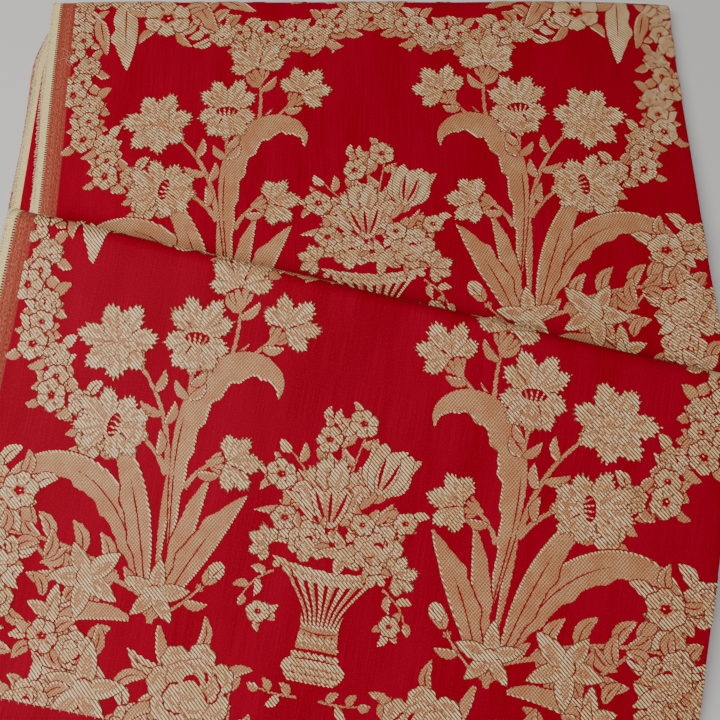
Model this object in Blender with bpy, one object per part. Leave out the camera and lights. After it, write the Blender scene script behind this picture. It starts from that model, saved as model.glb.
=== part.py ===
"""A brocade panel: one length of figured cloth folded once lengthwise and then back and forth, so that its top layer lies under a folded-back flap.

Metres, +Z up, -Y toward the viewer, +X to the viewer's right. The cloth is one closed solid. A point of the cloth is named by u, across it, and s, along it toward
the hem of the flap. The rows of BENDS roll the flat cloth up along straight lines, one after the other; the rows of SWELLS then lift or press it a little.
"""

from math import cos, exp, pi, radians, sin, tan

import bmesh
import bpy
from mathutils import Vector

MM = 0.001

# The sheet, in millimetres.
THICK = 1.2  # the cloth
HEM_THICK = 2.1  # the cloth turned in on itself at the hem
HEM_WIDTH = 12.0
HEM_STEP = 3.0  # over which it thickens
LAYER_STEP = 2.6  # from the middle of the upper half's cloth to the middle of the lower half's
LEFT_EDGE = -190.0  # the selvedge of the upper half
RIGHT_FOLD = 175.5  # where the upper half starts to turn under
LOWER_LEFT = -187.0  # the long edge of the lower half
EDGE_WAVE = 0.5  # how far its two long edges stray, to and fro
SOFT_START = 14.0  # how far before the right fold the cloth begins to droop
SOFT_DROP = 0.35
INNER_END = -384.0  # s at the hidden end of the cloth
HEM_END = 504.0  # s at the hem of the flap

# The straight lines along which the cloth bends, from its hidden end to its hem.
# name, s where the bend starts on u = 0, angle of its line to u (degrees), radius, turn (degrees, + toward the face), rows of faces around it
BENDS = (
    ("back fold", -109.28, -1.0, 5.5, -180.0, 10),
    ("sag", 75.0, -11.5, 150.0, -2.0, 2),
    ("hidden fold", 175.979, -9.15, 2.4, 175.8275, 9),
    ("front fold", 258.579, -4.0, 6.5, -183.0497, 12),
    ("landing", 455.317, -1.0564, 160.0, 9.2151, 4),
)

# How far the cloth has slipped sideways at each s. It changes evenly between two rows.
# s, slip along u
SLIPS = (
    (-384.0, -12.0),
    (-150.0, -12.0),
    (-96.0, 0.0),
    (150.0, 0.0),
    (257.0, -27.03),
    (504.0, -27.03),
)

# Soft swells and hollows of the lying cloth.
# name, u, s, reach along u, reach along s, height
SWELLS = (
    ("pocket", 138.0, 112.0, 26.0, 20.0, -2.4),
    ("rise by the pocket", 174.0, 108.0, 16.0, 34.0, 2.4),
    ("left of the upper layer", -150.0, -20.0, 60.0, 50.0, 0.9),
    ("middle of the upper layer", 20.0, 10.0, 80.0, 45.0, -0.9),
    ("right of the upper layer", 120.0, -30.0, 50.0, 40.0, 0.8),
    ("left edge of the upper layer", -200.0, 30.0, 50.0, 95.0, -3.8),
    ("right edge of the upper layer", 190.0, -60.0, 45.0, 70.0, -3.6),
    ("ridge, left", -150.0, 285.0, 70.0, 40.0, 0.4),
    ("ridge, right", 120.0, 285.0, 60.0, 40.0, -1.4),
    ("flap, left", -60.0, 380.0, 50.0, 60.0, 1.0),
    ("flap, middle", 60.0, 400.0, 45.0, 60.0, -0.9),
    ("flap, right", 150.0, 370.0, 40.0, 60.0, 1.0),
)

# Rows of faces along the cloth in each stretch between two bends, and columns across it.
STRETCH_ROWS = (6, 5, 4, 3, 6, 1)
HEM_ROWS = (HEM_END - HEM_WIDTH - HEM_STEP / 2, HEM_END - HEM_WIDTH + HEM_STEP / 2)
HALF_COLUMNS = 11
FOLD_COLUMNS = 7

# Swells reach up from the top of the bottom layer, and are whole from the underside of the next one.
LIFT_FROM = 3.9
LIFT_OVER = 4.4

NODE = "brocade_cloth"


def slip_at(s):
    for (s0, k0), (s1, k1) in zip(SLIPS, SLIPS[1:]):
        if s <= s1:
            t = min(max((s - s0) / (s1 - s0), 0.0), 1.0)
            return k0 + (k1 - k0) * t * t * (3 - 2 * t)
    return SLIPS[-1][1]


def stretches():
    """The flat stretches and the bends after them, each with its frame in space."""
    turn = radians(2 * BENDS[0][2])
    eu = Vector((cos(turn), sin(turn), 0))
    es = Vector((-sin(turn), cos(turn), 0))
    face = Vector((0, 0, -1))
    origin = Vector((0, 0, THICK / 2))
    found = []
    for name, s0, angle, radius, turned, rows in BENDS:
        a, t, side = radians(angle), abs(radians(turned)), 1 if turned > 0 else -1
        line = cos(a) * eu - sin(a) * es
        ahead = sin(a) * eu + cos(a) * es
        found.append((origin, eu, es, face, s0, a, radius, t, side, line, ahead))
        after = cos(t) * ahead + sin(t) * side * face
        face_after = cos(t) * face - sin(t) * side * ahead
        end = origin + s0 * es + radius * sin(t) * ahead + radius * (1 - cos(t)) * side * face
        past = radius * t
        eu = cos(a) * line + sin(a) * after
        es = -sin(a) * line + cos(a) * after
        origin = end - past * sin(a) * eu - (s0 + past * cos(a)) * es
        face = face_after
    found.append((origin, eu, es, face))
    return found


STRETCHES = stretches()


def swell_at(u, s):
    high = 0.0
    for name, u0, s0, reach_u, reach_s, height in SWELLS:
        high += height * exp(-(((u - u0) / reach_u) ** 2) - ((s - s0) / reach_s) ** 2)
    return high


def place(u, s, off):
    """Where a point of the cloth lies: off is its distance from the middle of the upper half, toward the face."""
    v = u + slip_at(s)
    for part in STRETCHES:
        origin, eu, es, face = part[:4]
        if len(part) == 4:
            spot = origin + v * eu + s * es + off * face
            break
        s0, a, radius, t, side, line, ahead = part[4:]
        past = v * sin(a) + (s - s0) * cos(a)
        if past <= 0:
            spot = origin + v * eu + s * es + off * face
            break
        if past < radius * t:
            phi = past / radius
            spot = origin + v * eu + s * es - past * ahead
            spot = spot + radius * sin(phi) * ahead + radius * (1 - cos(phi)) * side * face
            spot = spot + off * (cos(phi) * face - sin(phi) * side * ahead)
            break
    lift = min(max((spot.z - LIFT_FROM) / LIFT_OVER, 0.0), 1.0)
    spot.z += swell_at(u, s) * lift
    return spot


def rows():
    """Rows across the cloth, from the hidden end to the hem: each is s on u = 0 and the angle of its line."""
    found = []
    start, start_angle = INNER_END, 0.0
    for bend, count in zip(BENDS + (None,), STRETCH_ROWS):
        end, end_angle = (bend[1], bend[2]) if bend else (HEM_END, 0.0)
        for i in range(count):
            found.append((start + (end - start) * i / count, start_angle + (end_angle - start_angle) * i / count))
        if bend:
            name, s0, angle, radius, turned, steps = bend
            length = radius * abs(radians(turned)) / cos(radians(angle))
            for i in range(steps):
                found.append((s0 + length * i / steps, angle))
            start, start_angle = s0 + length, angle
    found.extend((s, 0.0) for s in (*HEM_ROWS, HEM_END))
    return found


def thickness_at(s):
    """The hem is thicker, with a soft step at its stitches."""
    t = min(max((s - HEM_ROWS[0]) / HEM_STEP, 0.0), 1.0)
    return THICK + (HEM_THICK - THICK) * t


def across():
    """The section across the cloth: u, distance from the upper half's middle, and the direction of its face there."""
    found = []
    for i in range(HALF_COLUMNS):
        t = i / HALF_COLUMNS
        u = LEFT_EDGE + (RIGHT_FOLD - SOFT_START - LEFT_EDGE) * t
        found.append((u, 0.0, 0.0))
    found.append((RIGHT_FOLD - SOFT_START, 0.0, 0.0))
    found.append((RIGHT_FOLD - SOFT_START / 2, -SOFT_DROP * 0.4, 0.03))
    radius = (LAYER_STEP - SOFT_DROP) / 2
    middle = -SOFT_DROP - radius
    for i in range(FOLD_COLUMNS + 1):
        a = pi * i / FOLD_COLUMNS
        found.append((RIGHT_FOLD + radius * sin(a), middle + radius * cos(a), a))
    for i in range(HALF_COLUMNS + 1):
        t = i / HALF_COLUMNS
        u = RIGHT_FOLD - SOFT_START * 0.4
        found.append((u + (LOWER_LEFT - u) * t, -LAYER_STEP, pi))
    return found


def build():
    section, lines = across(), rows()
    mesh = bmesh.new()
    sides = []
    for sign in (1, -1):
        grid = []
        for s_mid, angle in lines:
            line = []
            for k, (u, off, a) in enumerate(section):
                if k in (0, len(section) - 1):
                    u += EDGE_WAVE * (sin(s_mid / 17.0 + k) + sin(s_mid / 41.0))
                s = s_mid - (u + slip_at(s_mid)) * tan(radians(angle))
                half = sign * thickness_at(s) / 2
                spot = place(u + half * sin(a), s, off + half * cos(a))
                line.append(mesh.verts.new(spot * MM))
            grid.append(line)
        sides.append(grid)
    outer, inner = sides
    last_row, last_col = len(lines) - 1, len(section) - 1
    for i in range(last_row):
        for j in range(last_col):
            mesh.faces.new((outer[i][j], outer[i + 1][j], outer[i + 1][j + 1], outer[i][j + 1]))
            mesh.faces.new((inner[i][j], inner[i][j + 1], inner[i + 1][j + 1], inner[i + 1][j]))
    for i in range(last_row):
        for j in (0, last_col):
            quad = (outer[i][j], inner[i][j], inner[i + 1][j], outer[i + 1][j])
            mesh.faces.new(quad if j == 0 else quad[::-1])
    for j in range(last_col):
        for i in (0, last_row):
            quad = (outer[i][j], outer[i][j + 1], inner[i][j + 1], inner[i][j])
            mesh.faces.new(quad if i == 0 else quad[::-1])
    bmesh.ops.recalc_face_normals(mesh, faces=mesh.faces)
    low = Vector([min(v.co[k] for v in mesh.verts) for k in range(3)])
    high = Vector([max(v.co[k] for v in mesh.verts) for k in range(3)])
    middle = Vector(((low.x + high.x) / 2, (low.y + high.y) / 2, low.z))
    for v in mesh.verts:
        v.co -= middle
    return mesh, middle


def material(name, colour, roughness):
    made = bpy.data.materials.new(name)
    made.use_nodes = True
    shader = made.node_tree.nodes["Principled BSDF"]
    shader.inputs["Base Color"].default_value = (*colour, 1.0)
    shader.inputs["Roughness"].default_value = roughness
    made.diffuse_color = (*colour, 1.0)
    return made


for left_over in list(bpy.data.objects):
    bpy.data.objects.remove(left_over)

cloth, moved = build()
data = bpy.data.meshes.new(NODE)
cloth.to_mesh(data)
cloth.free()
node = bpy.data.objects.new(NODE, data)
node.data.materials.append(material("brocade_red", (0.36, 0.01, 0.025), 0.55))
bpy.context.scene.collection.objects.link(node)
print("moved by", [round(k / MM, 2) for k in moved], "faces", len(data.polygons))
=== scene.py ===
"""Folded brocade panel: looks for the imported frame.

The cloth is woven red with a cream and tan figure: mirrored stems of daffodils and long leaves, garlands of small flowers, and a
fluted urn of flowers on the middle line. The figure is grown here from short tables of directions, lengths and kinds of flower, in
millimetres of the flat cloth, and is then laid on the cloth's face and folded with it.
"""

import math
from math import cos, pi, radians, sin, tan

import bpy
import numpy as np
from mathutils import Matrix, Vector
from mathutils.geometry import delaunay_2d_cdt


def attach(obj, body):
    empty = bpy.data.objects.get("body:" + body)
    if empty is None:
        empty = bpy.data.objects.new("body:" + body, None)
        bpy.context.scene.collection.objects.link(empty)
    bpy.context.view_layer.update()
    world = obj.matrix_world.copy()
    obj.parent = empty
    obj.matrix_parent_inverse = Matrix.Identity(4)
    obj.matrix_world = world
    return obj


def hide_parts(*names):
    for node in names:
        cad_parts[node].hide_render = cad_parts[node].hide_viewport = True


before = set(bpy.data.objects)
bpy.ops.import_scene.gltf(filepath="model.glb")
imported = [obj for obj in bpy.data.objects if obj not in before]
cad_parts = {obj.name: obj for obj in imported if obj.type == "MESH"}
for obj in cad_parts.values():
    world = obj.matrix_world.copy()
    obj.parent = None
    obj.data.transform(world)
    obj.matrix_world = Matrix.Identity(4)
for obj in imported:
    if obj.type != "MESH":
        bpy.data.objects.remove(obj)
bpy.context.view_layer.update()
MM = 0.001

# ---------------------------------------------------------------------------------------------------------------- the figure
# Everything in this part is flat, in millimetres: x from the middle line, y up. Each shape is (tone, outline). Later
# shapes lie on earlier ones. TWILL is the cream float weave, MATT the tan weave, and OPEN shows the red ground. The
# fourth tone is
# the thin dark line round petals: partly binding threads, partly a painted shadow line along their edges.
OPEN, MATT, TWILL, BIND_AND_SHADOW = 0, 1, 2, 3

REPEAT = 330.0  # up the cloth
MIRROR = 177.0  # from the middle line of the urn to the other mirror line
TWILL_PITCH = 1.35
TWILL_ANGLE = 40.0


def noise(*key):
    """The same small number from 0 to 1 for the same key, every time."""
    h = 2166136261
    for k in key:
        h = ((h ^ (int(round(k * 64)) & 0xFFFFFFFF)) * 16777619) & 0xFFFFFFFF
        h ^= h >> 13
    h = (h * 2654435761) & 0xFFFFFFFF
    return ((h >> 8) & 0xFFFF) / 65535.0


def curve(points, step=1.2):
    """A smooth line through points, as (n, 2), with the points' own parameter in the second array."""
    p = np.array(points, float)
    if len(p) == 2:
        n = max(2, int(np.hypot(*(p[1] - p[0])) / step))
        t = np.linspace(0, 1, n + 1)
        return p[0] + (p[1] - p[0]) * t[:, None], t
    ext = np.vstack([2 * p[0] - p[1], p, 2 * p[-1] - p[-2]])
    found, at = [], []
    for i in range(len(p) - 1):
        a, b, c, d = ext[i : i + 4]
        n = max(2, int(np.hypot(*(c - b)) / step))
        for j in range(n):
            t = j / n
            found.append(0.5 * (2 * b + (c - a) * t + (2 * a - 5 * b + 4 * c - d) * t * t + (3 * b - a - 3 * c + d) * t**3))
            at.append(i + t)
    found.append(p[-1])
    at.append(len(p) - 1)
    return np.array(found), np.array(at)


def sides(line):
    """Unit normals, to the left of the line's direction."""
    d = np.gradient(line, axis=0)
    d /= np.maximum(np.hypot(d[:, 0], d[:, 1]), 1e-9)[:, None]
    return np.stack([-d[:, 1], d[:, 0]], 1)


def band(line, left, right):
    """The outline between two distances to the left of a line."""
    n = sides(line)
    a = line + n * np.asarray(left)[:, None]
    b = line + n * np.asarray(right)[:, None]
    return np.vstack([a, b[::-1]])


def grow(outline, by):
    """An outline made larger all round, whichever way it turns."""
    p = np.asarray(outline, float)
    d = np.roll(p, -1, 0) - np.roll(p, 1, 0)
    d /= np.maximum(np.hypot(d[:, 0], d[:, 1]), 1e-9)[:, None]
    area = 0.5 * np.sum(p[:, 0] * np.roll(p[:, 1], -1) - np.roll(p[:, 0], -1) * p[:, 1])
    return p + np.stack([d[:, 1], -d[:, 0]], 1) * (by if area > 0 else -by)


def put(shapes, x, y, size=1.0, angle=0.0, flip=False):
    """Shapes drawn round (0, 0) and upward, moved, turned (degrees, anticlockwise) and scaled."""
    a = radians(angle)
    turn = np.array([[cos(a), sin(a)], [-sin(a), cos(a)]])
    return [(tone, (p * (-size if flip else size, size)) @ turn + (x, y)) for tone, p in shapes]


def stem(points, width=1.3, tone=MATT, end=0.5):
    line, at = curve(points)
    t = at / at[-1]
    w = width / 2 * (1 - (1 - end) * t)
    return [(tone, band(line, w, -w))]


def blade(points, widths, edge="R", wave=0.0, rib=(0.05, 0.6), rib_at=0.0, rib_width=0.7, halo=0.7, tone=MATT, other=None):
    """A long leaf along a line: a flat body, a cream edge on one side, a waving margin on the other, and an open midrib."""
    line, at = curve(points, 1.3)
    t = at / at[-1]
    w = np.maximum(np.interp(t, np.linspace(0, 1, len(widths)), widths) / 2, 0.05)
    run = np.concatenate([[0], np.cumsum(np.hypot(*np.diff(line, axis=0).T))])
    margin = w * (1 + wave * np.sin(run / 3.1) + 0.5 * wave * np.sin(run / 1.7 + 1.0))
    left, right = (w, -margin) if edge == "L" else (margin, -w)
    if "W" in edge:
        right = -w * (1 + 0.13 * np.sin(run / 2.6) + 0.05 * np.sin(run / 1.3))
    gap = halo * np.minimum(1, w)
    shapes = [(OPEN, band(line, left + gap, right - gap))] if halo else []
    shapes.append((tone, band(line, left, right)))
    if other is not None:
        shapes.append((other, band(line, left * rib_at, right) if edge == "L" else band(line, left, right * rib_at)))
    strip_width = np.minimum(0.95, w * 0.6)
    if "L" in edge or edge == "B":
        shapes.append((TWILL, band(line, left, left - strip_width)))
    if "R" in edge or edge == "B":
        shapes.append((TWILL, band(line, right + strip_width, right)))
    if rib:
        keep = (t >= rib[0]) & (t <= rib[1])
        r = np.minimum(rib_width / 2, w[keep] * 0.3) * np.clip((rib[1] - t[keep]) / 0.12, 0.15, 1)
        c = rib_at * w[keep]
        shapes.append((OPEN, band(line[keep], c + r, c - r)))
    return shapes


def leaf(x0, y0, x1, y1, width, bend=0.1, kind="T", halo=0.0):
    """A leaf from its base to its tip. bend is to the left, as a part of its length."""
    d = np.array([x1 - x0, y1 - y0])
    n = np.array([-d[1], d[0]])
    mid = np.array([x0, y0]) + d * 0.5 + n * bend
    line, at = curve([(x0, y0), tuple(mid), (x1, y1)], 1.0)
    t = at / at[-1]
    w = width / 2 * np.sin(pi * np.clip(t, 0, 1) ** 0.8) ** 0.85 + 0.04
    zero = np.zeros_like(w)
    shapes = [(OPEN, band(line, w + halo, -w - halo))] if halo else []
    if kind == "T":
        shapes.append((TWILL, band(line, w, -w)))
    elif kind == "M":
        shapes.append((MATT, band(line, w, -w)))
    elif kind == "E":  # tan, with a cream edge
        shapes += [(MATT, band(line, w, -w)), (TWILL, band(line, w, w - np.minimum(0.9, w * 0.7)))]
    elif kind == "F":  # tan, with the other edge cream
        shapes += [(MATT, band(line, w, -w)), (TWILL, band(line, -w + np.minimum(0.9, w * 0.7), -w))]
    else:  # half and half
        shapes += [(TWILL, band(line, w, zero)), (MATT, band(line, zero, -w))]
    if width > 5.5:
        keep = (t > 0.04) & (t < 0.82)
        r = np.minimum(0.3, w * 0.2) * np.clip((0.84 - t) / 0.3, 0.1, 1)
        shapes.append((OPEN, band(line[keep], r[keep], -r[keep])))
    return shapes


def petal(length, width, point=0.45, teeth=0, depth=0.16):
    """A petal from (0, 0) upward: point is 0.3 for a round tip and 0.9 for a sharp one."""
    t = np.linspace(0, 1, 15 if not teeth else 8 * teeth + 9)
    w = t**0.62 * (1 - t) ** point
    w *= width / 2 / w.max()
    if teeth:
        w *= 1 + depth * np.where(t > 0.3, np.sin(2 * pi * teeth * t), 0)
    return np.vstack([np.stack([-w, t * length], 1), np.stack([w, t * length], 1)[::-1][1:]])


def lobed(radius, n, depth, point=0.5, turn=0.0, steps=9):
    """A closed outline with n lobes."""
    a = np.linspace(0, 2 * pi, n * steps, endpoint=False)
    r = radius * (1 - depth + depth * np.abs(np.cos(n * (a - turn) / 2)) ** point)
    return np.stack([r * np.cos(a), r * np.sin(a)], 1)


def blob(x, y, rx, ry=None, angle=0.0, steps=12):
    a = np.linspace(0, 2 * pi, steps, endpoint=False)
    return put([(0, np.stack([rx * np.cos(a), (ry or rx) * np.sin(a)], 1))], x, y, 1.0, angle)[0][1]


def arc(x, y, r, start, stop, width):
    """A crescent: part of a circle, thin at its ends."""
    a = np.radians(np.linspace(start, stop, max(6, int(abs(stop - start) / 14))))
    w = width / 2 * np.sin(np.linspace(0, pi, len(a))) ** 0.7 + 0.03
    line = np.stack([x + r * np.cos(a), y + r * np.sin(a)], 1)
    out = np.stack([np.cos(a), np.sin(a)], 1)
    return np.vstack([line + out * w[:, None], (line - out * w[:, None])[::-1]])


TOOTHED = ((0.0, -0.06), (0.15, 0.12), (0.31, 0.34), (0.44, 0.46), (0.58, 0.54), (0.43, 0.60), (0.55, 0.72), (0.38, 0.74), (0.44, 0.90), (0.25, 0.84), (0.2, 1.0), (0.08, 0.92), (0.0, 1.07))


def toothed(long, wide, key):
    """A petal that widens upward and ends in three or five teeth."""
    p = np.array(TOOTHED)
    right = p * (wide, long) + [((noise(key, k) - 0.5) * 0.07 * wide, (noise(key, k, 2) - 0.5) * 0.07 * long) for k in range(len(p))]
    left = p * (-wide, long) + [((noise(key, k, 4) - 0.5) * 0.07 * wide, (noise(key, k, 5) - 0.5) * 0.07 * long) for k in range(len(p))]
    right[0], left[0], left[-1] = (0.02, -0.06 * long), (-0.02, -0.06 * long), right[-1]
    return np.vstack([right, left[:-1][::-1]])


def head(petals, key, shade=1.0):
    """Toothed petals, (angle, length, width), one over the next, each with tan shading down one side."""
    halo, body = [], []
    for k, (angle, long, wide) in enumerate(petals):
        angle += 9 * (noise(key, k, 9) - 0.5)
        p = toothed(long, wide, key + k)
        halo += put([(OPEN, grow(p, 0.6))], 0, 0, 1, angle)
        # a dark ring round each petal: partly binding threads, partly a painted shadow line along its edge
        one = [(BIND_AND_SHADOW, grow(p, 0.38)), (TWILL, p)]
        side = 1 if k % 2 else -1
        one.append((MATT, band(*strip((side * 0.10 * wide, 0.14 * long), (side * 0.26 * wide, 0.78 * long), 0.13 * wide * shade))))
        one.append((MATT, blob(-side * 0.18 * wide, 0.60 * long, 0.12 * wide, 0.15 * long, 12 * side, 9)))
        one.append((OPEN if k % 3 == 1 and shade == 1.0 else MATT, band(*strip((-side * 0.16 * wide, 0.12 * long), (-side * 0.46 * wide, 0.5 * long), 0.055 * wide))))
        body += put(one, 0, 0, 1, angle)
    return halo + body


def aster(r, key=1.0):
    """A ragged double flower seen from the front."""
    petals = [(a, r * l, r * w) for a, l, w in ((180, 0.90, 0.54), (-128, 1.0, 0.56), (130, 0.94, 0.56), (-78, 1.04, 0.56), (80, 1.0, 0.56), (-27, 0.98, 0.56), (30, 1.06, 0.56))]
    shapes = head(petals, key)
    shapes += [(t, p) for t, p in head([(a, r * 0.5, r * 0.4) for a in (-150, 150, -75, 78, 0)], key + 3, 0.7) if t]
    shapes.append((MATT, blob(0.05 * r, -0.06 * r, 0.12 * r, 0.09 * r)))
    return shapes


def trumpet(r, key=1.0):
    """A ragged flower turned half away: a low fan of petals, a few high ones, and an open throat with stamens between."""
    top = [(a, r * l, r * w) for a, l, w in ((60, 0.95, 0.46), (-60, 0.95, 0.46), (22, 1.0, 0.48), (-22, 1.05, 0.48))]
    low = [(a, r * l, r * w) for a, l, w in ((105, 0.85, 0.5), (-105, 0.85, 0.5), (145, 0.9, 0.52), (-145, 0.9, 0.52), (180, 0.9, 0.54))]
    shapes = head(low, key + 1) + put([(t, p) for t, p in head(top, key)], 0, 0.12 * r)
    throat = blob(0, 0.03 * r, 0.33 * r, 0.16 * r, 0, 20)
    shapes += [(TWILL, grow(throat, 0.09 * r)), (OPEN, throat)]
    for k in range(4):  # stamens
        lean = (k - 1.5) / 1.5
        shapes.append((TWILL if k < 3 else MATT, band(*strip((0.14 * lean * r, -0.16 * r), (0.24 * lean * r, (0.16 - 0.05 * abs(lean)) * r), 0.035 * r))))
    shapes += [(MATT, arc(0, -0.2 * r, 0.34 * r, 205, 335, 0.09 * r)), (MATT, arc(0, -0.2 * r, 0.58 * r, 215, 325, 0.07 * r))]
    return shapes


def fan(r, key=1.0):
    """A ragged flower from the side: a fan of petals upward from its calyx."""
    petals = [(a, r * l, r * w) for a, l, w in ((-92, 0.86, 0.5), (88, 0.84, 0.5), (-50, 1.04, 0.5), (46, 1.0, 0.5), (-4, 1.08, 0.56))]
    shapes = put([(t, p) for t, p in head(petals, key)], 0, -0.25 * r)
    shapes.append((MATT, arc(0, -0.3 * r, 0.42 * r, 35, 145, 0.08 * r)))
    return shapes


def strip(a, b, width):
    """A straight tapering stroke for band()."""
    line, at = curve([a, b], 1.0)
    w = width * (1 - 0.6 * at / at[-1])
    return line, w, -w


def star(r, key=1.0, n=5, wide=0.5):
    """An open flower with pointed petals, each tan inside a cream border."""
    halo, body = [], []
    for k in range(n):
        angle = 360 / n * k + 14 * (noise(key, k) - 0.5)
        long = r * (0.92 + 0.2 * noise(key, k, 7))
        p = petal(long * 1.08, r * wide * (0.92 + 0.2 * noise(key, k, 1)), 0.95)
        halo += put([(OPEN, grow(p, 0.5))], 0, 0, 1, angle)
        inner = put([(MATT, petal(long * 0.62, r * wide * 0.52, 0.8))], 0.03 * r * (1 if k % 2 else -1), 0.24 * r)
        # a dark ring round each petal: partly binding threads, partly a painted shadow line along its edge
        one = [(BIND_AND_SHADOW, grow(p, 0.32)), (TWILL, p)] + (inner if k % 3 else put(inner, 0.03 * r, 0, 0.92))
        one.append((TWILL, band(*strip((0, 0.2 * r), (0.0, long * 0.6), 0.018 * r))))
        body += put(one, 0, 0, 1, angle)
    return halo + body + [(TWILL, lobed(0.24 * r, 5, 0.25)), (MATT, arc(0, 0, 0.2 * r, 200, 330, 0.06 * r)), (OPEN, arc(0, 0, 0.27 * r, 30, 150, 0.035 * r))]


def round_flower(r, key=1.0, n=6):
    """A small scalloped flower with an open eye."""
    turn = 2 * pi * noise(key)
    a = np.linspace(0, 2 * pi, n * 11, endpoint=False)
    edge = r * (0.78 + 0.22 * np.abs(np.cos(n * (a - turn) / 2)) ** 0.6 + 0.035 * np.sin(3 * n * a + turn) + 0.05 * np.sin(2 * a + 7 * noise(key, 3)))
    p = np.stack([edge * np.cos(a), 0.96 * edge * np.sin(a)], 1)
    # the dark ring round the flower: partly binding threads, partly a painted shadow line along its edge
    shapes = [(OPEN, grow(p, 0.7)), (BIND_AND_SHADOW, grow(p, 0.3)), (TWILL, p)]
    for k in range(n):
        a = turn + 2 * pi * (k + 0.5) / n
        # dark strokes between the petals of larger flowers: partly binding threads, partly painted shade between the
        # petals
        shapes.append((BIND_AND_SHADOW if r > 6 else MATT, band(*strip((0.42 * r * cos(a), 0.42 * r * sin(a)), (0.8 * r * cos(a), 0.8 * r * sin(a)), 0.06 * r))))
        a = turn + 2 * pi * k / n
        if k % 2:
            shapes.append((MATT, arc(0, 0, 0.68 * r, math.degrees(a) - 24, math.degrees(a) + 24, 0.12 * r)))
    eye = lobed(0.28 * r, 5, 0.4, 1.0, turn) * (1.15, 0.9)
    shapes += [(MATT, grow(eye, 0.12 * r)), (OPEN, eye), (TWILL, blob(0.06 * r, 0.02 * r, 0.08 * r, 0.05 * r, 30, 7))]
    return shapes


def rose(r, key=1.0, n=7):
    """A full round flower: ragged lobes about an open heart, each with tan folds."""
    turn = 2 * pi * noise(key)
    halo, body = [], []
    for ring, (count, reach, size) in enumerate(((n, 1.0, 0.36), (max(4, n - 2), 0.66, 0.33))):
        for k in range(count):
            a = turn + 2 * pi * (k + 0.5 * ring) / count + 0.25 * (noise(key, k, ring) - 0.5)
            rr = r * size * (0.92 + 0.2 * noise(key, k, 5 + ring))
            x, y = (r * reach - rr) * cos(a), (r * reach - rr) * sin(a)
            lobe_shape = lobed(rr, 7, 0.15, 0.7, a + ring) + (x, y)
            if ring == 0:
                halo.append((OPEN, grow(lobe_shape, 0.5)))
            else:
                body.append((MATT if k % 3 else OPEN, grow(lobe_shape, 0.05 * r)))
            if r > 6:
                # a dark ring round each lobe of larger roses: partly binding threads, partly a painted shadow line
                # along its edge
                body.append((BIND_AND_SHADOW, grow(lobe_shape, 0.3)))
            body.append((TWILL, lobe_shape))
            d = math.degrees(a)
            body.append((MATT, arc(x, y, 0.56 * rr, d - 80, d + 40, 0.3 * rr)))
            body.append((MATT, arc(x, y, 0.6 * rr, d + 110, d + 190, 0.2 * rr)))
            if k % 3 == 1:
                body.append((OPEN, arc(x, y, 0.92 * rr, d + 70, d + 130, 0.16 * rr)))
    body += [(TWILL, lobed(0.30 * r, 6, 0.16, 0.7, turn)), (MATT, arc(0, 0, 0.24 * r, 170, 320, 0.1 * r))]
    body += [(OPEN, arc(0, 0.02 * r, 0.2 * r, 5, 165, 0.13 * r)), (OPEN, arc(0.12 * r, 0.2 * r, 0.22 * r, -20, 60, 0.08 * r)), (TWILL, blob(0, -0.03 * r, 0.08 * r, 0.06 * r))]
    return halo + body


def bud(r, key=1.0):
    p = petal(r * 1.9, r * 1.2, 0.55)
    shapes = put([(OPEN, grow(p, 0.4)), (TWILL, p), (OPEN, band(*strip((0.1 * r, 0.7 * r), (0.18 * r, 1.7 * r), 0.06 * r)))], 0, 0)
    for a in (-30, 30):
        q = petal(r * 1.1, r * 0.42, 0.7)
        shapes += put([(OPEN, grow(q, 0.3)), (MATT, q)], 0, -0.15 * r, 1, a)
    return shapes


def calyx(r, key=1.0):
    """Sepals round the foot of a flower."""
    shapes = []
    for angle, long in ((-48, 1.1), (44, 1.15), (-18, 1.35), (16, 1.25)):
        p = petal(r * long, r * 0.5, 0.8)
        shapes += put([(OPEN, grow(p, 0.35)), (MATT, p)], 0, -0.55 * r, 1, angle)
    return shapes + [(MATT, blob(0, -0.5 * r, 0.3 * r, 0.42 * r))]


def tulip(r, key=1.0):
    """A tulip from the side: two petals flaring out, three in the cup, and dark slits between them."""
    shapes = []
    for side in (-1, 1):
        line, at = curve(np.array([(side * 0.15, -0.95), (side * 0.62, -0.4), (side * 0.62, 0.25), (side * 1.0, 0.85)]) * r, 1.0)
        w = 0.3 * r * np.sin(pi * np.clip(at / at[-1], 0.03, 0.985)) ** 0.7
        shapes += [(OPEN, band(line, w + 0.45, -w - 0.45)), (TWILL, band(line, w, -w)), (MATT, band(line, side * w * 0.1, side * w * 0.7))]
    for x, lean, long in ((-0.24, 8, 1.95), (0.26, -10, 1.9), (0.0, 0, 1.8)):
        p = petal(long * r, 0.74 * r, 0.6)
        # each cup petal has a dark ring: partly binding threads, partly a painted shadow line along its edge
        shapes += put([(OPEN, grow(p, 0.4)), (BIND_AND_SHADOW, grow(p, 0.25)), (TWILL, p), (MATT, band(*strip((0, 0.3 * r), (0, 1.2 * r), 0.07 * r)))], x * r, -1.0 * r, 1, lean)
    for x in (-0.2, 0.2):
        shapes.append((OPEN, arcline([(0.4 * x * r, -0.8 * r), (1.1 * x * r, -0.2 * r), (1.4 * x * r, 0.4 * r)], 0.13 * r)))
    return shapes


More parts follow.
